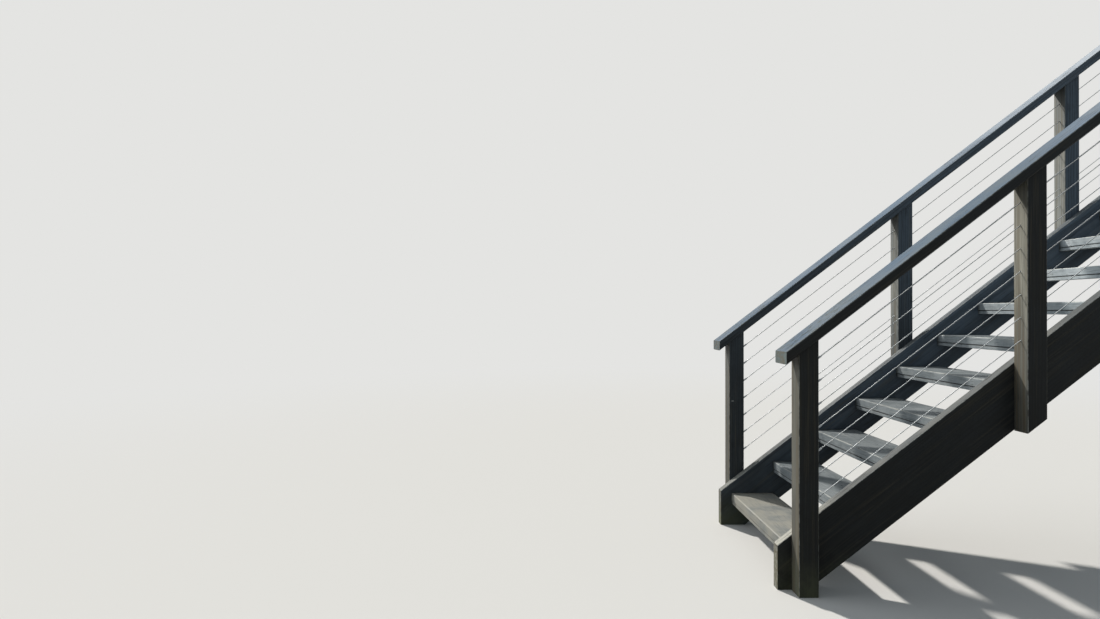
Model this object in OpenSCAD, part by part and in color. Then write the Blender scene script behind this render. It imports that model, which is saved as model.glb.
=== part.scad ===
// Straight flight of timber deck stairs with open risers. Two closed
// stringers carry thirteen treads in housings cut into their inner faces.
// Square posts stand on the outer faces, a flat handrail lies on each row
// of posts, and seven steel wires a side run through the posts.
// X runs up the flight, Y from right to left as one climbs, Z is up.
// The origin is on the upper end of the right stringer.

/* [Flight] */

// Height from the top of one tread to the top of the next
step_h = 190; // [150:1:200]
// Distance from one nosing to the next
step_d = 250; // [230:1:300]
// Width over the outer faces of the stringers
flight_w = 1000; // [700:10:1200]
// Distance from the lower end of the stringers to the first nosing
nosing_x = 65; // [40:1:100]

/* [Stringers] */

// Depth of a stringer, square to the slope
stringer_d = 250; // [242:1:300]
// Thickness of a stringer
stringer_t = 50; // [38:1:63]
// How far the top edge stands over the nosings, square to the slope
stringer_margin = 50; // [30:1:58]

/* [Treads] */

// Depth of a tread from front to back
tread_d = 250; // [200:1:262]
// Thickness of a tread
tread_t = 45; // [35:1:55]
// Width of the batten under the front of a tread
batten_w = 45; // [30:1:70]
// Thickness of the batten
batten_t = 20; // [12:1:25]
// How far the batten's front stands back from the tread's front
batten_back = 2; // [1:1:15]
// Depth of the housing that takes the end of a tread
housing = 12; // [8:1:18]
// Room round a tread in its housing, except below and at the end
housing_gap = 0.5; // [0.3:0.1:1]
// Radius of the eased edges of a tread
tread_r = 5; // [3:1:8]

/* [Posts and handrails] */

// Side of a square post
post_w = 90; // [70:1:110]
// Distance from one post to the next along the floor
post_spacing = 1040; // [900:5:1050]
// Radius of the eased edges of the posts and stringers
edge_r = 4; // [2:1:8]
// Height of the handrail's top over the nosings
rail_h = 960; // [860:5:1100]
// Width of the handrail
rail_w = 140; // [100:1:160]
// Thickness of the handrail
rail_t = 45; // [35:1:60]
// Radius of the eased edges of the handrail
rail_r = 6; // [3:1:12]
// How far the handrail runs past the end posts
rail_over = 65; // [20:1:120]

/* [Wires] */

// Diameter of a wire
wire_d = 4; // [3:0.5:5]
// Diameter of the holes that the wires pass through
wire_hole_d = 7; // [6:0.5:9]
// Diameter of the collar at the end of a wire
collar_d = 10; // [8:0.5:12]
// Length of the collar
collar_l = 18; // [12:1:30]
// Length of the taper from the collar to the wire
taper_l = 6; // [4:1:12]
// Diameter of the shank that is fixed in the end post
shank_d = 6; // [5.5:0.5:7]
// Length of the shank
shank_l = 45; // [30:1:60]
// Room round a shank or collar in its hole
shank_gap = 0.3; // [0.2:0.1:0.5]

/* [Hidden] */

$fn = 64;

// Each tread, post and wire is a node of its own, so the counts are fixed
treads = 13;
posts = 4;
wires = 7;

right = -1;
left = 1;

pitch = atan(step_h / step_d);

// The floor above is one more step up, and the stringers end with the
// back of the last tread
floor_z = step_h * (treads + 1);
end_x = nosing_x + step_d * (treads - 1) + tread_d;
flight_l = end_x + step_d;

// Heights over the line of the nosings, square to the slope
stringer_low = stringer_margin - stringer_d;
rail_top = rail_h * cos(pitch);
rail_low = rail_top - rail_t;

// The wires share the space from stringer to handrail evenly
wire_gap = (rail_low - stringer_margin) / (wires + 1);

post_h = floor_z + rail_h;
post_y = (flight_w + post_w) / 2;
stringer_y = (flight_w - stringer_t) / 2;
tread_w = flight_w - 2 * stringer_t + 2 * housing;

first_post_x = nosing_x;
last_post_x = first_post_x + post_spacing * (posts - 1);

// A hole's full circle lies in the wood this far in from a plumb face
seat_cover = 0.5;
seat_l = (collar_d / 2 + shank_gap) * tan(pitch) + seat_cover;
hole_spare = 4;

// Pieces that are joined or cut run this far into or past each other
overrun = 1;

end_low_z = slope_z(end_x, stringer_low);
end_mid_z = (end_low_z + floor_z) / 2;

charcoal = [0.16, 0.17, 0.18];
grey = [0.56, 0.59, 0.60];
steel = [0.78, 0.79, 0.80];

// Height of a line that lies n over the nosings, square to the slope
function slope_z(x, n) = step_h + (x - nosing_x) * step_h / step_d + n / cos(pitch);

// Distance up the slope from the first nosing at which that line passes x
function slope_s(x, n) = (x - nosing_x + n * sin(pitch)) / cos(pitch);

// Height over the nosings of one wire, the lowest being number 1
function wire_n(wire) = stringer_margin + wire_gap * wire;

// Moves a piece from the foot of the flight to the part's own origin
module placed() {
  translate([-end_x, stringer_y, -end_mid_z]) children();
}

// Rectangle with eased corners
module eased(w, h, r) {
  translate([r, 0]) square([w - 2 * r, h]);
  translate([0, r]) square([w, h - 2 * r]);
  for (x = [r, w - r])
    for (y = [r, h - r])
      translate([x, y]) circle(r);
}

// Starts at the first nosing, with X up the slope and Z square to it
module on_slope() {
  translate([nosing_x, 0, step_h]) rotate([0, -pitch, 0]) children();
}

// Timber of an eased section w by h that runs up the slope between two
// plumb planes, with its underside n over the nosings
module raking_timber(y, w, h, n, r) {
  on_slope()
    translate([-flight_l, y - w / 2, n])
      rotate([90, 0, 90])
        linear_extrude(3 * flight_l) eased(w, h, r);
}

// Rod along the slope that starts at distance s, n over the nosings
module raking_rod(y, n, s, l, d) {
  on_slope()
    translate([s, y, n])
      rotate([0, 90, 0]) cylinder(h = l, d = d);
}

// Outline seen from the right side, spread over the whole width
module side_outline(points) {
  translate([0, flight_w, 0])
    rotate([90, 0, 0]) linear_extrude(2 * flight_w) polygon(points);
}

// One stringer, plumb at both ends, level at the foot and at the floor
module stringer(side) {
  color(charcoal) difference() {
    intersection() {
      raking_timber(side * stringer_y, stringer_t, stringer_d, stringer_low, edge_r);
      side_outline([
        [0, 0],
        [end_x, 0],
        [end_x, floor_z],
        [0, floor_z]
      ]);
    }
    for (step = [1 : treads])
      tread_housing(step);
  }
}

// Room for one tread, cut into both stringers
module tread_housing(step) {
  at_tread(step) {
    translate([-housing_gap, -tread_t])
      square([tread_d + 2 * housing_gap, tread_t + housing_gap]);
    translate([batten_back - housing_gap, -tread_t - batten_t - housing_gap])
      square([batten_w + 2 * housing_gap, batten_t + 2 * housing_gap]);
  }
}

// Extrudes a profile seen from the right over the length of one tread
module at_tread(step) {
  translate([nosing_x + step_d * (step - 1), tread_w / 2, step_h * step])
    rotate([90, 0, 0]) linear_extrude(tread_w) children();
}

// One tread with its batten
module tread(step) {
  color(grey) {
    at_tread(step) {
      translate([0, -tread_t]) eased(tread_d, tread_t, tread_r);
      translate([batten_back, -tread_t - batten_t])
        eased(batten_w, batten_t, tread_r / 2);
    }
  }
}

// One post. The first stands on the floor, the others end with the stringer
module post(side, number) {
  x = first_post_x + post_spacing * (number - 1);
  y = side * post_y;
  x0 = x - overrun;
  x1 = x + post_w + overrun;
  grounded = number == 1;
  color(charcoal) difference() {
    intersection() {
      translate([x, y - post_w / 2, 0])
        linear_extrude(post_h) eased(post_w, post_w, edge_r);
      side_outline([
        [x0, grounded ? 0 : slope_z(x0, stringer_low)],
        [x1, grounded ? 0 : slope_z(x1, stringer_low)],
        [x1, slope_z(x1, rail_low)],
        [x0, slope_z(x0, rail_low)]
      ]);
    }
    for (wire = [1 : wires]) {
      if (number == 1)
        end_hole(y, wire_n(wire), x + post_w, 1);
      else if (number == posts)
        end_hole(y, wire_n(wire), x, -1);
      else
        raking_rod(y, wire_n(wire), slope_s(x, wire_n(wire)) - post_w, 3 * post_w, wire_hole_d);
    }
  }
}

// Stepped blind hole for the end of a wire, open towards the wire.
// way is 1 where the wire leaves up the slope and -1 where it leaves down
module end_hole(y, n, face_x, way) {
  seat_s = slope_s(face_x, n) - way * seat_l;
  on_slope()
    translate([seat_s, y, n])
      rotate([0, 90 * way, 0]) {
        cylinder(h = post_w, d = collar_d + 2 * shank_gap);
        translate([0, 0, -shank_l - hole_spare])
          cylinder(h = shank_l + hole_spare + overrun, d = shank_d + 2 * shank_gap);
      }
}

// Shank, collar and taper at one end of a wire
module wire_end(y, n, face_x, way) {
  seat_s = slope_s(face_x, n) - way * seat_l;
  on_slope()
    translate([seat_s, y, n])
      rotate([0, 90 * way, 0]) {
        translate([0, 0, -shank_l]) cylinder(h = shank_l + overrun, d = shank_d);
        cylinder(h = collar_l, d = collar_d);
        translate([0, 0, collar_l]) cylinder(h = taper_l, d1 = collar_d, d2 = wire_d);
      }
}

// One wire from the first post to the last, with its two ends
module wire(side, number) {
  y = side * post_y;
  n = wire_n(number);
  low_s = slope_s(first_post_x + post_w, n);
  high_s = slope_s(last_post_x, n);
  color(steel) {
    raking_rod(y, n, low_s, high_s - low_s, wire_d);
    wire_end(y, n, first_post_x + post_w, 1);
    wire_end(y, n, last_post_x, -1);
  }
}

// One handrail, plumb at both ends
module handrail(side) {
  low_x = first_post_x - rail_over;
  high_x = last_post_x + post_w + rail_over;
  color(charcoal) intersection() {
    raking_timber(side * post_y, rail_w, rail_t, rail_low, rail_r);
    side_outline([
      [low_x, 0],
      [high_x, 0],
      [high_x, 2 * post_h],
      [low_x, 2 * post_h]
    ]);
  }
}

placed() stringer(right);  // stringer_right
placed() stringer(left);  // stringer_left
placed() tread(1);  // tread_01
placed() tread(2);  // tread_02
placed() tread(3);  // tread_03
placed() tread(4);  // tread_04
placed() tread(5);  // tread_05
placed() tread(6);  // tread_06
placed() tread(7);  // tread_07
placed() tread(8);  // tread_08
placed() tread(9);  // tread_09
placed() tread(10);  // tread_10
placed() tread(11);  // tread_11
placed() tread(12);  // tread_12
placed() tread(13);  // tread_13
placed() post(right, 1);  // post_right_1
placed() post(right, 2);  // post_right_2
placed() post(right, 3);  // post_right_3
placed() post(right, 4);  // post_right_4
placed() post(left, 1);  // post_left_1
placed() post(left, 2);  // post_left_2
placed() post(left, 3);  // post_left_3
placed() post(left, 4);  // post_left_4
placed() handrail(right);  // handrail_right
placed() handrail(left);  // handrail_left
placed() wire(right, 1);  // wire_right_1
placed() wire(right, 2);  // wire_right_2
placed() wire(right, 3);  // wire_right_3
placed() wire(right, 4);  // wire_right_4
placed() wire(right, 5);  // wire_right_5
placed() wire(right, 6);  // wire_right_6
placed() wire(right, 7);  // wire_right_7
placed() wire(left, 1);  // wire_left_1
placed() wire(left, 2);  // wire_left_2
placed() wire(left, 3);  // wire_left_3
placed() wire(left, 4);  // wire_left_4
placed() wire(left, 5);  // wire_left_5
placed() wire(left, 6);  // wire_left_6
placed() wire(left, 7);  // wire_left_7
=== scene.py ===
import math

import bpy
import numpy as np
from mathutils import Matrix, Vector


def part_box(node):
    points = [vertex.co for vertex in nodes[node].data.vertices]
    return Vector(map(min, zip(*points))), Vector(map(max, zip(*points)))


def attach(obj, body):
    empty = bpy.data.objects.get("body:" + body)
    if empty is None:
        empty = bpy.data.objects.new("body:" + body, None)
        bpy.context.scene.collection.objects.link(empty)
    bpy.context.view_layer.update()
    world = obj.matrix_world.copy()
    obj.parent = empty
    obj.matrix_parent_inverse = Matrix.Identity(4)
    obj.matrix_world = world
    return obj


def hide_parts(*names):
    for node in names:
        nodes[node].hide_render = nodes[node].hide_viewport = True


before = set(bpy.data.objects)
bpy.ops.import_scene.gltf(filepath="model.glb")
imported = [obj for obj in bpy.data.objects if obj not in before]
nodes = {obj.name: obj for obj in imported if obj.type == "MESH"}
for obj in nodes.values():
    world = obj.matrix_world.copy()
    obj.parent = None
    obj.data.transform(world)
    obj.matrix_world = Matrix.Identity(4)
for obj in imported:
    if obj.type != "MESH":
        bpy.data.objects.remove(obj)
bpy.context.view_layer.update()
print("frame loaded,", len(nodes), "nodes")

sides = ("right", "left")
postCount = 4  # on each side

# one step's height and depth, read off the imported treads, give the slope
firstLow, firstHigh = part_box("tread_01")
secondLow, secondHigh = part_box("tread_02")
stepHeight = secondHigh.z - firstHigh.z
stepDepth = secondLow.x - firstLow.x
pitch = math.atan2(stepHeight, stepDepth)
upSlope = np.array([math.cos(pitch), 0.0, math.sin(pitch)])
offSlope = np.array([-math.sin(pitch), 0.0, math.cos(pitch)])
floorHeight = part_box("post_right_1")[0].z


def toLinear(hexColour):
    # sRGB to linear: the low part is divided by 12.92, the rest follows a 2.4 power
    channels = np.array([int(hexColour[i:i + 2], 16) for i in (1, 3, 5)]) / 255
    low = channels / 12.92
    high = ((channels + 0.055) / 1.055) ** 2.4
    return (*np.where(channels <= 0.04045, low, high), 1.0)


def addNode(tree, kind, inputs=None, **settings):
    # one node with its settings and links: an input is given a number, a colour, a
    # socket or another node, which is linked by its first output in use. Inputs go
    # by name, or by number where names repeat: a colour mix's colours are 6 and 7
    made = tree.nodes.new(kind)
    for name, value in settings.items():
        setattr(made, name, value)
    for name, value in (inputs or {}).items():
        if isinstance(value, bpy.types.Node):
            value = next(output for output in value.outputs if output.enabled)
        if isinstance(value, bpy.types.NodeSocket):
            tree.links.new(value, made.inputs[name])
        else:
            made.inputs[name].default_value = value
    return made


def newMaterial(name):
    material = bpy.data.materials.new(name)
    material.use_nodes = True
    material.node_tree.nodes.clear()
    return material, material.node_tree


def woodGrain(tree, along, grains):
    # noises drawn out along the grain; each has a length and a width in metres
    # and its detail
    made = []
    for length, width, detail in grains:
        drawn = addNode(tree, "ShaderNodeMapping",
                        {"Vector": along, "Scale": (1 / length, 1 / width, 1 / width)})
        made.append(addNode(tree, "ShaderNodeTexNoise", {"Vector": drawn, "Scale": 1.0, "Detail": detail}))
    return made


def layCoats(tree, look, ground, coats):
    # lays colours over one another. Each coat names its colour in look and says
    # where it lies: ranges (value, from, to, least, most), multiplied together
    colour, cover = toLinear(look[ground]), {}
    for name, ranges in coats.items():
        amount = None
        for value, start, stop, least, most in ranges:
            eased = addNode(tree, "ShaderNodeMapRange",
                            {"Value": value, "From Min": start, "From Max": stop,
                             "To Min": least, "To Max": most}, interpolation_type="SMOOTHSTEP")
            if amount is None:
                amount = eased
            else:
                amount = addNode(tree, "ShaderNodeMath", {0: amount, 1: eased}, operation="MULTIPLY")
        colour = addNode(tree, "ShaderNodeMix", {0: amount, 6: colour, 7: toLinear(look[name])},
                         data_type="RGBA")
        cover[name] = amount
    return colour, cover


timberIor = 1.48  # an acrylic film and bare wood bend light nearly alike


def finishTimber(tree, look, colour, band, roughened, heights):
    # roughness follows the broad streaks and rises by each part's share; the
    # relief adds up the heights, each times its share of the raised distance
    smooth, dry = look["rough"]
    dull = addNode(tree, "ShaderNodeMapRange",
                   {"Value": band, "From Min": 0.3, "From Max": 0.7, "To Min": smooth, "To Max": dry})
    for amount, share in roughened:
        dull = addNode(tree, "ShaderNodeMath", {0: amount, 1: share, 2: dull}, operation="MULTIPLY_ADD")
    relief = 0.0
    for height, share in heights:
        relief = addNode(tree, "ShaderNodeMath", {0: height, 1: share, 2: relief}, operation="MULTIPLY_ADD")
    bump = addNode(tree, "ShaderNodeBump", {"Height": relief, "Strength": 0.8, "Distance": look["raised"]})
    surface = addNode(tree, "ShaderNodeBsdfPrincipled",
                      {"Base Color": colour, "Roughness": dull, "IOR": timberIor,
                       "Specular IOR Level": look["gloss"], "Normal": bump})
    addNode(tree, "ShaderNodeOutputMaterial", {"Surface": surface})


def ripple(places, reach, seed, waves=9):
    # smooth noise: a sum of sines with seeded lengths and phases, the shortest
    # wave about reach long, divided by about twice its usual height so that it
    # seldom leaves -1 to 1
    dice = np.random.default_rng(seed)
    rates = 2 * np.pi / (reach * dice.uniform(1.0, 4.5, waves))
    phases = dice.uniform(0, 2 * np.pi, waves)
    waved = np.sin(np.asarray(places)[..., None] * rates + phases)
    return waved.sum(-1) / math.sqrt(waves) / 1.4


def loft(rings):
    # closes a stack of rings into a solid: quads between neighbouring rings and a
    # fan of triangles round the middle of the first and the last ring
    count, around = rings.shape[:2]
    points = np.vstack([rings.reshape(-1, 3), rings[0].mean(0), rings[-1].mean(0)])
    row, column = np.meshgrid(np.arange(count - 1), np.arange(around), indexing="ij")
    following = (column + 1) % around
    quads = np.stack([row * around + column, row * around + following,
                      (row + 1) * around + following, (row + 1) * around + column], -1).reshape(-1, 4)
    edge = np.arange(around)
    nextEdge = (edge + 1) % around
    top = (count - 1) * around
    firstFan = np.stack([nextEdge, edge, np.full(around, count * around)], -1)
    lastFan = np.stack([top + edge, top + nextEdge, np.full(around, count * around + 1)], -1)
    return points, quads, np.vstack([firstFan, lastFan])


def outward(points, quads, fans):
    # the signed volume is the sum of each triangle's corner product; below zero
    # the faces point inwards, and their order is turned round
    triangles = np.vstack([quads[:, [0, 1, 2]], quads[:, [0, 2, 3]], fans])
    a, b, c = (points[triangles[:, i]] for i in range(3))
    if np.einsum("ij,ij->i", a, np.cross(b, c)).sum() < 0:
        return quads[:, ::-1], fans[:, ::-1]
    return quads, fans


def makePiece(name, shells, material, replaced, fields=None):
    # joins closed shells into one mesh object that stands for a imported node
    points, quads, fans, start = [], [], [], 0
    for rings in shells:
        shellPoints, shellQuads, shellFans = loft(rings)
        shellQuads, shellFans = outward(shellPoints, shellQuads, shellFans)
        points.append(shellPoints)
        quads.append(shellQuads + start)
        fans.append(shellFans + start)
        start += len(shellPoints)
    points, quads, fans = np.vstack(points), np.vstack(quads), np.vstack(fans)
    mesh = bpy.data.meshes.new(name)
    mesh.vertices.add(len(points))
    mesh.vertices.foreach_set("co", points.astype(np.float32).ravel())
    mesh.loops.add(quads.size + fans.size)
    mesh.loops.foreach_set("vertex_index", np.concatenate([quads.ravel(), fans.ravel()]).astype(np.int32))
    mesh.polygons.add(len(quads) + len(fans))
    starts = np.concatenate([np.arange(len(quads)) * 4, quads.size + np.arange(len(fans)) * 3])
    mesh.polygons.foreach_set("loop_start", starts.astype(np.int32))
    smooth = np.concatenate([np.ones(len(quads), bool), np.zeros(len(fans), bool)])
    mesh.polygons.foreach_set("use_smooth", smooth)
    for field, values in (fields or {}).items():
        layer = mesh.attributes.new(field, "FLOAT", "POINT")
        layer.data.foreach_set("value", values.astype(np.float32))
    mesh.update(calc_edges=True)
    mesh.validate()
    mesh.materials.append(material)
    piece = bpy.data.objects.new(name, mesh)
    bpy.context.scene.collection.objects.link(piece)
    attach(piece, "root")
    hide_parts(replaced)
    return piece


paint = {
    "slate": "#2b2c2a",      # the dark paint where it is sound
    "thinned": "#434a4e",    # the same, thinned by weather, most on the left side
    "bleachedAndSkylit": "#6e7f90",   # paler, bluer paint high up and on the left: sun bleaching and painted skylight
    "streak": "#6b6454",     # grey-brown wood that shows along the grain
    "ring": "#1c1d1e",       # darker late wood under the film
    "chalkAndPaintedShade": "#aaa89b",      # chalked paint on the weather side; less of it on the left is painted shade
    "stain": "#665c49",      # brown-grey streaks where water has run
    "stainClimb": (0.8, 1.8),    # the heights between which they thin out
    "paintedSunlight": "#b9c0c7",     # painted sunlight on what faces up high on the flight
    "paintedSunlightClimb": (1.8, 3.1),    # the heights between which that grows
    "paintedSunPatch": "#b4b2a6",    # painted sunlight on the stringers' top edges beside the first tread
    "paintedSunPatchClimb": (0.46, 0.26),    # the heights between which that grows
    "check": "#23211d",      # fine cracks along the grain
    "fleck": "#2b3a38",      # bare spots near the handrails' lower ends
    "rubbed": "#a4a6a1",     # arrises rubbed to the wood
    "moss": "#7c8060",       # green bloom near the ground
    "mossTo": 0.22,          # how high it reaches
    "chip": "#b4b6b2",       # one pale chip on the first left post
    "chipAt": (-3.2295, 0.975, -1.7986),
    "chipHigh": 0.0035,      # half its height
    "chipSqueeze": (0.35, 1.0, 1.0),    # makes it about three times as long
    "weatherSide": (-0.93, 0.36, 0.0),
    "fleckTo": -2.85,        # how far up the flight the flecks reach
    "rough": (0.38, 0.6),
    "gloss": 0.3,            # how strongly a face mirrors, 0.5 for a clean film
    "grains": ((0.16, 0.004, 3.0), (0.55, 0.018, 2.5), (0.8, 0.016, 1.5), (0.03, 0.010, 2.0)),
    "mottle": 4.5,           # blotches to the metre
    "ringWide": 0.013,       # from one growth ring to the next
    "ringLong": 10,          # how far the rings are drawn out along the grain
    "ringWander": 9.0,       # how far they stray from straight
}

# what differs from one kind of member to the next: whether it runs along the
# slope, the chalking, as the heights between which it grows and its share below
# and above them, the low share standing for painted shade, the heights between
# which the left side bleaches and takes painted skylight, how far the arrises are
# rubbed, whether the lower end is flecked, how far the grain stands up, and the
# dust on what faces up, with a painted sky reflection, bluest on the handrails,
# as is their chalk
timbers = {
    "stringer": {"raking": True, "chalkAndShadeClimb": (0.7, 1.5, 0.75, 0.8), "bleachAndSkylightClimb": (-0.2, 1.4), "rub": 0.9,
                 "flecked": False, "raised": 0.0003, "dustAndSkyReflection": "#545a5e"},
    "handrail": {"raking": True, "chalkAndShadeClimb": (0.7, 1.5, 0.42, 0.5), "bleachAndSkylightClimb": (0.8, 2.4), "rub": 0.5,
                 "flecked": True, "raised": 0.00012, "dustAndSkyReflection": "#405c77", "chalkAndPaintedShade": "#93a5a5"},
    "post": {"raking": False, "chalkAndShadeClimb": (0.95, 1.5, 0.34, 1.0), "bleachAndSkylightClimb": (0.7, 2.0), "rub": 0.9,
             "flecked": False, "raised": 0.0003, "dustAndSkyReflection": "#46596d"},
}


def paintedTimber(member, look):
    # Satin acrylic brushed on sawn softwood: a dark slate film with raised grain.
    # It chalks to pale streaks on the weather side, holds dust on top, checks
    # along the grain and rubs off the arrises. Some colour is painted light:
    # painted shade as less chalk low down and on the left, painted skylight high up
    # and on the left, a painted sky reflection in the dust, and painted sunlight on
    # what faces up high on the flight and on the top edges near the foot. turn lays
    # the mapped x axis along the grain. section holds the two directions across the
    # piece: their product is high only on an arris
    turn = (0.0, pitch if look["raking"] else math.pi / 2, 0.0)
    section = ((0, 1, 0), tuple(offSlope) if look["raking"] else (1, 0, 0))
    material, tree = newMaterial(f"satin_painted_timber_{member}")
    place = addNode(tree, "ShaderNodeTexCoord").outputs
    spot = place["Object"]
    parts = addNode(tree, "ShaderNodeSeparateXYZ", {0: spot}).outputs
    along = addNode(tree, "ShaderNodeMapping", {"Vector": spot, "Rotation": turn})
    fibre, band, wander, spots = woodGrain(tree, along, look["grains"])
    mottle = addNode(tree, "ShaderNodeTexNoise",
                     {"Vector": spot, "Scale": look["mottle"], "Detail": 6.0, "Roughness": 0.6})
    # at scale 1 the wave texture repeats every 2 pi / 20
    drawn = addNode(tree, "ShaderNodeMapping", {"Vector": along, "Scale": (1 / look["ringLong"], 1.0, 1.0)})
    rings = addNode(tree, "ShaderNodeTexWave",
                    {"Vector": drawn, "Scale": 2 * math.pi / 20 / look["ringWide"],
                     "Distortion": look["ringWander"], "Detail": 2.0, "Detail Scale": 0.5},
                    wave_type="RINGS", rings_direction="X").outputs["Fac"]
    # how far a face looks to the weather side, up, and along the two sections
    weather, up, first, second = (addNode(tree, "ShaderNodeVectorMath", {0: place["Normal"], 1: way},
                                          operation="DOT_PRODUCT")
                                  for way in (look["weatherSide"], (0, 0, 1), *section))
    arris = addNode(tree, "ShaderNodeMath", {0: first, 1: second}, operation="MULTIPLY")
    arris = addNode(tree, "ShaderNodeMath", {0: arris}, operation="ABSOLUTE")
    climb = addNode(tree, "ShaderNodeMath", {0: parts["Z"], 1: floorHeight}, operation="SUBTRACT")
    # a crack runs where the wandering noise crosses its middle value
    split = addNode(tree, "ShaderNodeMath", {0: wander, 1: 0.5}, operation="SUBTRACT")
    split = addNode(tree, "ShaderNodeMath", {0: split}, operation="ABSOLUTE")
    squeeze = look["chipSqueeze"]
    squeezed = addNode(tree, "ShaderNodeVectorMath", {0: spot, 1: squeeze}, operation="MULTIPLY")
    chipAway = addNode(tree, "ShaderNodeVectorMath",
                       {0: squeezed, 1: [a * b for a, b in zip(look["chipAt"], squeeze)]},
                       operation="DISTANCE")

    facingUp = (up, 0.5, 0.78, 0, 1)
    layers = {
        "thinned": [(mottle, 0.32, 0.72, 0, 1), (parts["Y"], 0.1, 0.9, 0.35, 1)],
        # paler and bluer high up and on the left: sun bleaching with painted skylight
        "bleachedAndSkylit": [(parts["Y"], 0.1, 0.9, 0.05, 0.95), (climb, *look["bleachAndSkylightClimb"], 0.15, 1),
                     (band, 0.3, 0.65, 0.6, 1)],
        "streak": [(band, 0.45, 0.75, 0, 0.55), (fibre, 0.35, 0.7, 0.25, 1)],
        "ring": [(rings, 0.2, 0.9, 0, 0.25)],
        # chalk on the weather side; less of it low down and on the left stands for painted shade
        "chalkAndPaintedShade": [(weather, 0.2, 0.85, 0, 1), (band, 0.3, 0.6, 0.6, 1), (fibre, 0.3, 0.62, 0.65, 1),
                  (climb, *look["chalkAndShadeClimb"]), (parts["Y"], 0.4, 0.95, 1, 0.7)],
        "stain": [(weather, 0.2, 0.85, 0, 0.8), (wander, 0.47, 0.6, 0, 1),
                  (climb, *look["stainClimb"], 1, 0.6), (fibre, 0.35, 0.6, 0.6, 1)],
        # dust on what faces up, coloured bluer as a painted sky reflection
        "dustAndSkyReflection": [facingUp, (mottle, 0.3, 0.7, 0.45, 0.85), (fibre, 0.25, 0.6, 0.7, 1)],
        # painted sunlight on upward faces high on the flight
        "paintedSunlight": [facingUp, (climb, *look["paintedSunlightClimb"], 0, 0.9), (fibre, 0.25, 0.6, 0.5, 1)],
        # a painted sun patch on the stringers' top edges near the foot
        "paintedSunPatch": [facingUp, (climb, *look["paintedSunPatchClimb"], 0, 0.8), (parts["Y"], 0.9, 0.1, 0.4, 1),
                    (spots, 0.3, 0.5, 0.6, 1)],
        "check": [(split, 0.022, 0.008, 0, 0.75), (mottle, 0.46, 0.56, 0, 1), (up, -0.2, 0.6, 0.5, 1)],
        "fleck": [(spots, 0.57, 0.60, 0, 0.9), facingUp,
                  (parts["X"], look["fleckTo"], look["fleckTo"] - 0.25, 0, 1)],
        "rubbed": [(arris, 0.15, 0.45, 0, look["rub"]), (spots, 0.34, 0.62, 0.2, 0.95),
                   (up, -0.45, -0.1, 0, 1)],
        "moss": [(climb, look["mossTo"], 0, 0, 0.5), (mottle, 0.35, 0.65, 0, 1)],
        "chip": [(chipAway, look["chipHigh"], look["chipHigh"] * 0.7, 0, 1)],
    }
    if not look["flecked"]:
        del layers["fleck"]
    colour, cover = layCoats(tree, look, "slate", layers)
    finishTimber(tree, look, colour, band,
                 ((cover["rubbed"], 0.15), (cover["dustAndSkyReflection"], 0.3), (cover["chalkAndPaintedShade"], 0.15)),
                 ((fibre, 1.0), (rings, 0.25), (cover["check"], -1.5)))
    return material


painted = {member: paintedTimber(member, {**paint, **own}) for member, own in timbers.items()}


def dress(nodeName, material):
    piece = nodes[nodeName]
    piece.data.materials.clear()
    piece.data.materials.append(material)


for side in sides:
    dress(f"stringer_{side}", painted["stringer"])
    dress(f"handrail_{side}", painted["handrail"])
    for number in range(1, postCount + 1):
        dress(f"post_{side}_{number}", painted["post"])
print("posts, stringers and handrails painted")


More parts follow.
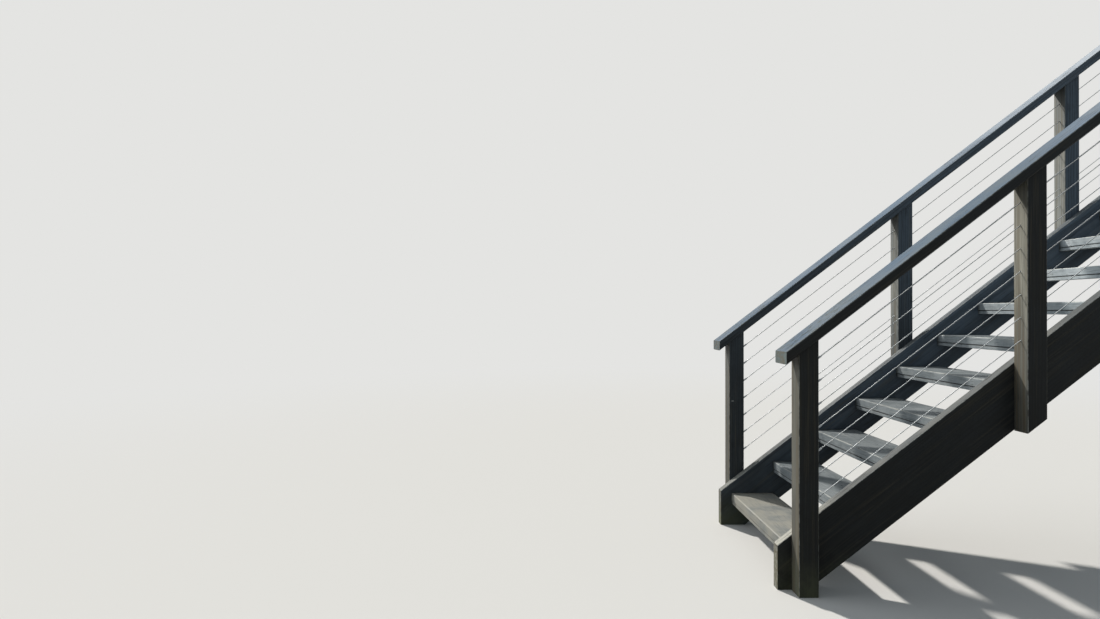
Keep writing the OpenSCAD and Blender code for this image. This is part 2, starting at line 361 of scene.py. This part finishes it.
tread = {
    "count": 13,
    "thick": 0.045,          # board's thickness
    "radius": 0.005,         # its eased edges
    "battenWide": 0.045,     # batten under the front edge
    "battenBack": 0.002,     # how far it stands back from the front
    "battenRadius": 0.002,
    "battenWorn": 0.12,      # how scuffed it is all over, from 0 to 1
    "sawn": 0.0004,          # saw marks on its underside
    "sawnWave": 0.03,        # length of the shortest of them
    "cup": 0.0008,           # how far the middle of the top has sunk
    "worn": 0.0016,          # usual wear of the front arris
    "wornMost": 0.0035,      # no nick is deeper
    "wornReach": 0.006,      # how far round the arris the wear goes
    "wornEven": 0.35,        # share of it that isn't in nicks
    "wornAside": 0.45,       # share of that which is left beside the path
    "wave": 0.05,            # length of the shortest waves in the wear
    "nick": 0.012,           # length of the shortest nicks
    "nickLevel": 0.55,       # the higher, the fewer they are
    "nickDeep": 1.3,
    "path": 0.26,            # half the width that feet wear down
    "pathPale": 0.25,        # half the width that they whiten
    "pathAside": 0.05,       # how far it strays from the middle
    "pathBack": 0.26,        # how far behind the front it fades out
    "pathShare": 0.4,        # how worn it looks beside the nosing
    "patchy": 0.25,          # how uneven the nosing's scuffing is
    "topWithin": 0.003,      # what lies no deeper counts as the top
    "scuffed": (0.008, 0.006),    # how far the scuffing goes back and down
    "soiled": (0.055, 0.010),    # from an end, where the dirt starts and where it is full
    "paintedCreviceShade": (0.0005, 0.0033, 0.012),    # painted shade over the batten: its middle over the joint, half its height, how far back it shows
                                           # joint, half its height, how far back it shows
    "stations": 90,          # rings along a board
    "boardSteps": (5, (5, 14, 9, 14)),    # points round a corner, then up the back, over the
                                          # top, down the front and along the underside
    "battenStations": 60,
    "battenSteps": (3, (3, 4, 11, 4)),
    "silver": "#7f888c",     # weathered board, its blue tint partly painted skylight
    "pale": "#a4abae",       # where feet have thinned it, its blue tint partly painted skylight
    "ridge": "#b3b6b3",      # raised early wood in the streaks
    "grain": "#3c3f3e",      # dirt held in the grain
    "bare": "#bfc1bb",       # scuffed nosing
    "split": "#262723",      # cracks along the grain
    "soilAndCreviceShade": "#232524",       # dirt at the ends and painted shade over the batten
    "knot": "#232523",
    "paintedSunOnLowest": "#bcb7a8",       # painted sunlight on the lowest board, pale and warm
    "paintedSunOnLowestTo": 0.28,          # how high above the floor it reaches
    "tone": (0.93, 1.06),    # from the darkest board to the palest
    "shade": (0.70, 1.3),    # painted shade darkens the lower boards, painted sunlight brightens the upper ones
    "shadeClimb": (0.9, 1.5),    # the heights between which that turns
    "knots": ((-2.843, 0.355, -2.154), (-3.166, 0.868, -2.344)),    # on two low boards' fronts
    "knotWide": 0.006,       # half its width
    "knotSqueeze": (1.0, 0.5, 1.0),    # makes it twice as long along the board
    "rough": (0.5, 0.74),
    "gloss": 0.3,
    "grains": ((0.12, 0.0045, 3.0), (0.4, 0.014, 3.0), (0.35, 0.02, 2.0)),
    "mottle": 7.0,           # blotches to the metre
    "scuff": 55.0,           # scuff marks to the metre
    "raised": 0.0006,
}


def easedLoop(low, high, radius, cornerSteps, flatSteps):
    # closed outline of an eased rectangle as points and outward normals: each
    # corner is a quarter circle, each flat is spaced closer towards its ends
    inner = np.array([[high[0], low[1]], [high[0], high[1]], [low[0], high[1]], [low[0], low[1]]])
    inner = inner + radius * np.array([[-1, 1], [-1, -1], [1, -1], [1, 1]])
    sweep = np.linspace(0, np.pi / 2, cornerSteps + 1)
    points, normals = [], []
    for corner in range(4):
        angles = -np.pi / 2 + corner * np.pi / 2 + sweep
        direction = np.stack([np.cos(angles), np.sin(angles)], -1)
        points.append(inner[corner] + radius * direction)
        normals.append(direction)
        following = inner[(corner + 1) % 4] + radius * direction[-1]
        share = 0.5 - 0.5 * np.cos(np.linspace(0, np.pi, flatSteps[corner] + 2)[1:-1])
        points.append(points[-1][-1] + share[:, None] * (following - points[-1][-1]))
        normals.append(np.repeat(direction[-1:], flatSteps[corner], 0))
    return np.vstack(points), np.vstack(normals)


def barRings(low, high, radius, stations, cornerSteps, flatSteps, move):
    # carries the outline along Y; move gives how far each point sinks
    # along its own normal, from its place in the outline and along Y
    outline, normals = easedLoop((low[0], low[2]), (high[0], high[2]), radius, cornerSteps, flatSteps)
    y = np.linspace(low[1], high[1], stations)
    flat = outline[None] - move(outline, normals, y)[..., None] * normals[None]
    across = np.broadcast_to(y[:, None], flat.shape[:2])
    return np.stack([flat[..., 0], across, flat[..., 1]], -1)


def boardWear(low, high, seed):
    # the top sinks by one less the square of the distance from its middle line.
    # The front arris is rubbed back by a bell curve round it, times a wear that
    # is a bell curve along Y plus nicks, where a noise passes its level
    def move(outline, normals, y):
        middle = (low[0] + high[0]) / 2
        share = (outline[:, 0] - middle) / ((high[0] - low[0]) / 2)
        cup = tread["cup"] * np.clip(1 - share ** 2, 0, 1) * (normals[:, 1] > 0.9)
        gap = np.hypot(outline[:, 0] - low[0], outline[:, 1] - high[2])
        nearFront = np.exp(-(gap / tread["wornReach"]) ** 2)
        centre = (low[1] + high[1]) / 2
        aside = tread["wornAside"]
        walked = aside + (1 - aside) * np.exp(-((y - centre) / tread["path"]) ** 2)
        nicks = np.clip(ripple(y, tread["nick"], seed) - tread["nickLevel"], 0, 1) * tread["nickDeep"]
        even = tread["wornEven"] * walked * (1 + ripple(y, tread["wave"], seed + 50))
        rub = tread["worn"] * (even + nicks)
        return cup[None] + np.clip(rub, 0, tread["wornMost"])[:, None] * nearFront[None]
    return move


def battenWear(seed):
    # small waves left by the saw, on what faces down
    def move(outline, normals, y):
        waves = tread["sawn"] * (1 + ripple(y, tread["sawnWave"], seed))
        return waves[:, None] * (normals[:, 1] < -0.1)[None]
    return move


def wornTread(look):
    # Weathered hardwood board, silver grey and dull: dark grain and dirt between
    # pale ridges, fine splits, a nosing scuffed nearly white, soil at the ends
    material, tree = newMaterial("weathered_timber_tread")
    spot = addNode(tree, "ShaderNodeTexCoord").outputs["Object"]
    height = addNode(tree, "ShaderNodeSeparateXYZ", {0: spot}).outputs["Z"]
    climb = addNode(tree, "ShaderNodeMath", {0: height, 1: floorHeight}, operation="SUBTRACT")
    along = addNode(tree, "ShaderNodeMapping", {"Vector": spot, "Rotation": (0, 0, -math.pi / 2)})
    fibre, band, wander = woodGrain(tree, along, look["grains"])
    mottle = addNode(tree, "ShaderNodeTexNoise",
                     {"Vector": spot, "Scale": look["mottle"], "Detail": 6.0, "Roughness": 0.62})
    scuff = addNode(tree, "ShaderNodeTexNoise",
                    {"Vector": spot, "Scale": look["scuff"], "Detail": 6.0, "Roughness": 0.7})
    wear = addNode(tree, "ShaderNodeAttribute", attribute_name="wear").outputs["Fac"]
    # ends carries the dirt at the ends and the painted shade over the batten
    ends = addNode(tree, "ShaderNodeAttribute", attribute_name="ends").outputs["Fac"]
    # wear shows where it and the scuffed noise together pass a level
    rubbed = addNode(tree, "ShaderNodeMath", {0: scuff, 1: 0.8, 2: wear}, operation="MULTIPLY_ADD")
    split = addNode(tree, "ShaderNodeMath", {0: wander, 1: 0.5}, operation="SUBTRACT")
    split = addNode(tree, "ShaderNodeMath", {0: split}, operation="ABSOLUTE")
    squeeze = look["knotSqueeze"]
    squeezed = addNode(tree, "ShaderNodeVectorMath", {0: spot, 1: squeeze}, operation="MULTIPLY")
    knotAway = 1.0
    for knot in look["knots"]:
        away = addNode(tree, "ShaderNodeVectorMath",
                       {0: squeezed, 1: [a * b for a, b in zip(knot, squeeze)]}, operation="DISTANCE")
        knotAway = addNode(tree, "ShaderNodeMath", {0: away, 1: knotAway}, operation="MINIMUM")

    colour, cover = layCoats(tree, look, "silver", {
        "pale": [(mottle, 0.3, 0.7, 0, 1)],
        "ridge": [(band, 0.5, 0.75, 0, 0.8), (fibre, 0.4, 0.65, 0.2, 1)],
        "grain": [(fibre, 0.46, 0.26, 0, 0.6)],
        "bare": [(rubbed, 0.8, 1.35, 0, 0.85)],
        "split": [(split, 0.012, 0.002, 0, 0.75), (mottle, 0.5, 0.6, 0, 1)],
        # dirt at the ends, and painted shade in the crevice over the batten
        "soilAndCreviceShade": [(ends, 0.0, 1.0, 0, 0.9), (scuff, 0.3, 0.5, 0.6, 1)],
        "knot": [(knotAway, look["knotWide"], look["knotWide"] * 0.5, 0, 0.9)],
        # painted sunlight on the lowest board
        "paintedSunOnLowest": [(climb, look["paintedSunOnLowestTo"], look["paintedSunOnLowestTo"] - 0.05, 0, 0.8), (mottle, 0.35, 0.6, 0.4, 1),
                 (fibre, 0.3, 0.55, 0.6, 1)],
    })
    chance = addNode(tree, "ShaderNodeObjectInfo").outputs["Random"]
    tone = addNode(tree, "ShaderNodeMapRange",
                   {"Value": chance, "To Min": look["tone"][0], "To Max": look["tone"][1]})
    # painted shade on the lower boards, painted sunlight on the upper ones
    paintedShadeByClimb = addNode(tree, "ShaderNodeMapRange",
                      {"Value": climb, "From Min": look["shadeClimb"][0], "From Max": look["shadeClimb"][1],
                       "To Min": look["shade"][0], "To Max": look["shade"][1]},
                      interpolation_type="SMOOTHSTEP")
    shade = addNode(tree, "ShaderNodeMath", {0: tone, 1: paintedShadeByClimb}, operation="MULTIPLY")
    toned = addNode(tree, "ShaderNodeHueSaturation", {"Color": colour, "Value": shade})
    finishTimber(tree, look, toned, band, ((cover["bare"], 0.08),),
                 ((fibre, 1.0), (cover["split"], -0.8), (scuff, 0.3)))
    return material


def wearFields(rings, low, high, joint, seed):
    # two values a point. How walked-on it is: a bell curve round the front arris,
    # and one along Y on the top that fades out to the back. How soiled and shaded
    # it is: dirt rising to either end, and painted shade in the crevice over the
    # batten, a flat-topped bell curve in height just above the joint
    x, y, z = rings[..., 0], rings[..., 1], rings[..., 2]
    centre = (low[1] + high[1]) / 2
    half = (high[1] - low[1]) / 2
    back, down = tread["scuffed"]
    nosing = np.exp(-((x - low[0]) / back) ** 2 - ((z - high[2]) / down) ** 2)
    onTop = z > high[2] - tread["topWithin"]
    aside = tread["pathAside"] * ripple(seed, 1.0, 3)
    path = tread["pathShare"] * np.exp(-((y - centre - aside) / tread["pathPale"]) ** 2) * onTop
    path = path * np.clip(1.1 - (x - low[0]) / tread["pathBack"], 0, 1)
    patchy = 1 - tread["patchy"] + tread["patchy"] * ripple(y, tread["wave"], seed)
    wear = np.clip(nosing * patchy + path, 0, 1)
    start, full = tread["soiled"]
    ends = np.clip((np.abs(y - centre) - half + start) / (start - full), 0, 1) ** 1.5
    over, deep, within = tread["paintedCreviceShade"]
    # painted shade in the crevice over the batten
    paintedCreviceShade = np.exp(-((z - joint - over) / deep) ** 4) * (x < low[0] + within)
    return wear, np.maximum(ends, paintedCreviceShade)


def withMiddles(values):
    # the two middle points of a shell's closed ends take the value of their ring
    flat = values.reshape(-1)
    return np.concatenate([flat, [values[0].mean(), values[-1].mean()]])


treadWood = wornTread(tread)
# each use of chance has its own hundred of seeds, and each board its own number
for number in range(1, tread["count"] + 1):
    nodeName = f"tread_{number:02d}"
    low, high = (np.array(corner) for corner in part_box(nodeName))
    boardLow = np.array([low[0], low[1], high[2] - tread["thick"]])
    board = barRings(boardLow, high, tread["radius"], tread["stations"], *tread["boardSteps"],
                     boardWear(boardLow, high, 100 + number))
    battenLow = np.array([low[0] + tread["battenBack"], low[1], low[2]])
    battenHigh = np.array([battenLow[0] + tread["battenWide"], high[1], boardLow[2]])
    batten = barRings(battenLow, battenHigh, tread["battenRadius"], tread["battenStations"],
                      *tread["battenSteps"], battenWear(200 + number))
    boardWorn, boardSoilAndShade = wearFields(board, boardLow, high, boardLow[2], 300 + number)
    battenSoilAndShade = wearFields(batten, battenLow, battenHigh, boardLow[2], 400 + number)[1]
    makePiece(f"{nodeName}_board_and_batten", [board, batten], treadWood, nodeName,
              {"wear": np.concatenate([withMiddles(boardWorn),
                                       withMiddles(np.full_like(battenSoilAndShade, tread["battenWorn"]))]),
               "ends": np.concatenate([withMiddles(boardSoilAndShade), withMiddles(battenSoilAndShade)])})
print("treads made")


wire = {
    "count": 7,              # on each side
    "rope": 0.0040,          # diameter over the strands
    "groove": 0.00005,       # depth between two strands, mostly shown by its painted shade
    "strands": 12,
    "lay": 0.100,            # one turn of the strands, drawn longer than real so that it shows
    "ring": 0.005,           # from one ring of points to the next
    "shank": 0.045,
    "shankWide": 0.006,
    "collar": 0.018,
    "collarWide": 0.010,
    "sleeve": 0.022,         # pressed sleeve between collar and rope
    "sleeveWide": 0.0086,
    "taper": 0.006,
    "end": 0.001,            # how far the shank's hidden tip is pointed
    "eased": (0.0008, 0.0006),    # length of the collar's two eased edges
    "easedDeep": 0.0008,
    "lean": 0.00005,         # how far the collar's end face leans
    "lip": 0.0002,           # how far the taper ends over the strands
    "dip": 0.0001,           # and how far it then goes under them
    "turnedAt": (0.008, 0.0118),    # two turned grooves, from the start of the collar
    "turned": 0.0004,        # length of a groove's sloped side, and of the sleeve's edges;
                             # the whole groove is four times as long
    "turnedDeep": 0.0005,
    "bright": "#d0d5d8",
    "stain": "#8c8577",      # faint brown where salt has sat
    "paintedStrandShade": "#3f4041",       # painted shade between the strands
    "rough": (0.56, 0.7),
    "blotch": 22.0,          # stained blotches to the metre
    "brush": 1400.0,         # brush marks to the metre
    "brushDeep": 0.00005,
}


def wireRings(start, finish, make):
    # a rod along the wire: its radius follows the fitting from shank to collar,
    # sleeve and taper, then the strands, whose points turn about the axis with
    # the lay. It comes with a value a point, 1 between two strands and 0 elsewhere
    span = finish - start
    length = np.linalg.norm(span)
    way = span / length
    sideways = np.array([0.0, 1.0, 0.0])
    upward = np.cross(way, sideways)
    shank = make["shank"]
    foot = shank + make["collar"]
    neck = foot + make["sleeve"]
    tip = neck + make["taper"]
    narrow, wide, pressed, rope = (make[part] / 2
                                   for part in ("shankWide", "collarWide", "sleeveWide", "rope"))
    end, slope, deep = make["end"], make["turned"], make["turnedDeep"]
    edge, lip = wide - make["easedDeep"], make["lip"]
    grooves = [(shank + at + ahead, wide - sunk) for at in make["turnedAt"]
               for ahead, sunk in ((0, 0), (slope, deep), (3 * slope, deep), (4 * slope, 0))]
    # places along the wire with the radius there: shank, collar, sleeve and taper
    fitting = np.array([(0, narrow - end), (end, narrow), (shank, narrow),
                        (shank + make["lean"], edge), (shank + make["eased"][0], wide), *grooves,
                        (foot - make["eased"][1], wide), (foot, edge),
                        (foot + slope, pressed), (neck - slope, pressed), (neck, pressed - slope),
                        (tip - lip, rope + lip), (tip, rope - make["dip"])])
    fittingPlace, fittingRadius = fitting.T
    ropeLength = length - 2 * tip
    count = int(round(ropeLength / make["ring"]))
    ropePlace = tip + np.linspace(0, ropeLength, count + 1)[1:-1]
    turns = round(ropeLength / make["lay"])
    place = np.concatenate([fittingPlace, ropePlace, length - fittingPlace[::-1]])
    radius = np.concatenate([fittingRadius, np.full(len(ropePlace), rope), fittingRadius[::-1]])
    around = 2 * make["strands"]
    twist = 2 * np.pi * turns * np.clip((place - tip) / ropeLength, 0, 1)
    angle = np.arange(around) * 2 * np.pi / around + twist[:, None]
    stranded = ((place >= tip) & (place <= length - tip))[:, None]
    between = (stranded & (np.arange(around) % 2 == 1)[None]).astype(float)
    spread = radius[:, None] - make["groove"] * between
    ring = spread[..., None] * (np.cos(angle)[..., None] * sideways + np.sin(angle)[..., None] * upward)
    return start + place[:, None, None] * way + ring, between


def stainless(look):
    # Drawn stainless wire and swaged fittings: bright, slightly brushed along
    # the wire, dulled and tea-stained in places, with painted shade between the strands
    material, tree = newMaterial("drawn_stainless_steel")
    spot = addNode(tree, "ShaderNodeTexCoord").outputs["Object"]
    blotch = addNode(tree, "ShaderNodeTexNoise",
                     {"Vector": spot, "Scale": look["blotch"], "Detail": 5.0, "Roughness": 0.6})
    brushed = addNode(tree, "ShaderNodeTexNoise", {"Vector": spot, "Scale": look["brush"], "Detail": 2.0})
    between = addNode(tree, "ShaderNodeAttribute", attribute_name="between").outputs["Fac"]
    colour = layCoats(tree, look, "bright", {"stain": [(blotch, 0.52, 0.8, 0, 0.5)],
                                             # painted shade between the strands
                                             "paintedStrandShade": [(between, 0.4, 1.0, 0, 0.85)]})[0]
    smooth, dull = look["rough"]
    rough = addNode(tree, "ShaderNodeMapRange", {"Value": brushed, "To Min": smooth, "To Max": dull})
    bump = addNode(tree, "ShaderNodeBump",
                   {"Height": brushed, "Strength": 0.3, "Distance": look["brushDeep"]})
    surface = addNode(tree, "ShaderNodeBsdfPrincipled",
                      {"Base Color": colour, "Roughness": rough, "Metallic": 1.0, "Normal": bump})
    addNode(tree, "ShaderNodeOutputMaterial", {"Surface": surface})
    return material


steel = stainless(wire)
for side in sides:
    for number in range(1, wire["count"] + 1):
        nodeName = f"wire_{side}_{number}"
        low, high = (np.array(corner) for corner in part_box(nodeName))
        inset = wire["shankWide"] / 2 * np.array([upSlope[2], 0, upSlope[0]])
        middle = (low[1] + high[1]) / 2
        start = np.array([low[0], middle, low[2]]) + inset
        finish = np.array([high[0], middle, high[2]]) - inset
        rod, between = wireRings(start, finish, wire)
        makePiece(f"{nodeName}_rope_and_fittings", [rod], steel, nodeName,
                  {"between": withMiddles(between)})
print("wires made")


studio = {
    "centre": (-1.6, 0.5),    # middle of the floor
    "floorRings": (2, 5, 10, 20, 60),    # radii in metres
    "floorPoints": 96,       # points round a ring
    "floorPale": "#dddcd9",
    "floorBounce": "#5c5b57",    # what the floor throws back onto the timber
    "floorGloss": 0.3,       # how much of the pale floor a reflection meets
    "background": "#e4e4e2",
    "fade": (3.0, 12.0),     # where the floor starts to melt into it and where it has gone
    "sunFrom": (-0.40, 0.67, 0.625),    # the way to the lamp
    "sun": 3.8,
    "sunWide": 3.0,          # degrees across, for soft edges that still show the wires' shadows
    "sunColour": (1.0, 0.962, 0.905),
    "sideFrom": (-0.93, 0.15, 0.33),
    "side": 0.9,
    "sideWide": 50.0,
    "sideColour": (0.93, 0.97, 1.0),
    "dome": 0.25,
    "domeColour": (0.82, 0.92, 1.0, 1),
    "roomPale": (-0.1, 0.8, 0.6),    # the way to the pale part of the room
    "roomTurn": 0.45,        # the smaller, the sharper it turns dim
    "roomDim": 0.12,         # how pale the dim part still is
}


def pale(tree, gloss=1.0):
    # 1 for rays that should meet the pale setting, 0 for those that light the
    # part; gloss is how much of it a reflection meets
    path = addNode(tree, "ShaderNodeLightPath").outputs
    mirrored = addNode(tree, "ShaderNodeMath", {0: path["Is Glossy Ray"], 1: gloss}, operation="MULTIPLY")
    seen = addNode(tree, "ShaderNodeMath", {0: path["Is Camera Ray"], 1: mirrored}, operation="MAXIMUM")
    return addNode(tree, "ShaderNodeMath", {0: seen, 1: path["Is Transmission Ray"]}, operation="MAXIMUM")


def makeFloor(look):
    # a round floor: rings of points about the centre, lit near the part and
    # melting into the background further out
    around = look["floorPoints"]
    angle = np.arange(around) * 2 * np.pi / around
    radius = np.array(look["floorRings"])[:, None]
    x = look["centre"][0] + radius * np.cos(angle)
    y = look["centre"][1] + radius * np.sin(angle)
    points = np.stack([x, y, np.full_like(x, floorHeight)], -1).reshape(-1, 3)
    points = np.vstack([points, [*look["centre"], floorHeight]])
    column = np.arange(around)
    following = (column + 1) % around
    faces = [[len(points) - 1, a, b] for a, b in zip(column, following)]
    for row in range(len(radius) - 1):
        inner, outer = row * around, (row + 1) * around
        faces += np.stack([inner + column, outer + column, outer + following, inner + following], -1).tolist()
    mesh = bpy.data.meshes.new("floor")
    mesh.from_pydata(points.tolist(), [], faces)
    material, tree = newMaterial("pale_floor")
    spot = addNode(tree, "ShaderNodeTexCoord").outputs["Object"]
    away = addNode(tree, "ShaderNodeVectorMath", {0: spot, 1: (*look["centre"], floorHeight)},
                   operation="DISTANCE")
    near, gone = look["fade"]
    far = addNode(tree, "ShaderNodeMapRange", {"Value": away, "From Min": near, "From Max": gone},
                  interpolation_type="SMOOTHSTEP")
    tint = addNode(tree, "ShaderNodeMix",
                   {0: pale(tree, look["floorGloss"]), 6: toLinear(look["floorBounce"]),
                    7: toLinear(look["floorPale"])}, data_type="RGBA")
    lit = addNode(tree, "ShaderNodeBsdfDiffuse", {"Color": tint})
    glow = addNode(tree, "ShaderNodeEmission", {"Color": toLinear(look["background"]), "Strength": 1.0})
    amount = addNode(tree, "ShaderNodeMath", {0: far, 1: pale(tree)}, operation="MULTIPLY")
    mixed = addNode(tree, "ShaderNodeMixShader", {0: amount, 1: lit, 2: glow})
    addNode(tree, "ShaderNodeOutputMaterial", {"Surface": mixed})
    mesh.materials.append(material)
    floor = bpy.data.objects.new("floor", mesh)
    bpy.context.scene.collection.objects.link(floor)


def makeWorld(look):
    world = bpy.data.worlds.new("studio")
    bpy.context.scene.world = world
    world.use_nodes = True
    tree = world.node_tree
    tree.nodes.clear()
    seen = addNode(tree, "ShaderNodeBackground", {"Color": toLinear(look["background"]), "Strength": 1.0})
    lighting = addNode(tree, "ShaderNodeBackground", {"Color": look["domeColour"], "Strength": look["dome"]})
    # the room is pale above and behind the part and dim low on the near side,
    # so that the near faces keep their dark colour
    direction = addNode(tree, "ShaderNodeTexCoord").outputs["Generated"]
    lean = addNode(tree, "ShaderNodeVectorMath", {0: direction, 1: look["roomPale"]}, operation="DOT_PRODUCT")
    room = addNode(tree, "ShaderNodeMapRange",
                   {"Value": lean, "From Min": -look["roomTurn"], "From Max": look["roomTurn"],
                    "To Min": look["roomDim"], "To Max": 1.0}, interpolation_type="SMOOTHSTEP")
    mixed = addNode(tree, "ShaderNodeMixShader", {0: pale(tree, room), 1: lighting, 2: seen})
    addNode(tree, "ShaderNodeOutputWorld", {"Surface": mixed})


def makeSun(name, towards, strength, angle, colour):
    lamp = bpy.data.lights.new(name, "SUN")
    lamp.energy = strength
    lamp.angle = math.radians(angle)
    lamp.color = colour
    holder = bpy.data.objects.new(name, lamp)
    holder.rotation_euler = Vector(towards).to_track_quat("Z", "Y").to_euler()
    bpy.context.scene.collection.objects.link(holder)


makeFloor(studio)
makeWorld(studio)
makeSun("key", studio["sunFrom"], studio["sun"], studio["sunWide"], studio["sunColour"])
makeSun("side", studio["sideFrom"], studio["side"], studio["sideWide"], studio["sideColour"])
print("floor and light made")


view = {
    "at": (-4.4279, -3.1169, -1.2525),    # fitted by least squares, as are the next three
    "right": 1.223,          # degrees turned to the right of +Y
    "up": 0.146,
    "focal": 676.5,          # in pixels of a picture 1100 wide
    "wide": 1100,
    "sensor": 36.0,          # in millimetres
    "farthest": 300,         # in metres, past the whole floor
}

lens = bpy.data.cameras.new("camera")
lens.sensor_width = view["sensor"]
lens.lens = view["focal"] * lens.sensor_width / view["wide"]
lens.clip_end = view["farthest"]
camera = bpy.data.objects.new("camera", lens)
camera.location = view["at"]
turnRight, tiltUp = math.radians(view["right"]), math.radians(view["up"])
ahead = Vector((math.sin(turnRight) * math.cos(tiltUp), math.cos(turnRight) * math.cos(tiltUp),
                math.sin(tiltUp)))
camera.rotation_euler = ahead.to_track_quat("-Z", "Y").to_euler()
bpy.context.scene.collection.objects.link(camera)
bpy.context.scene.camera = camera
bpy.context.scene.view_settings.view_transform = "Standard"

bpy.context.view_layer.update()
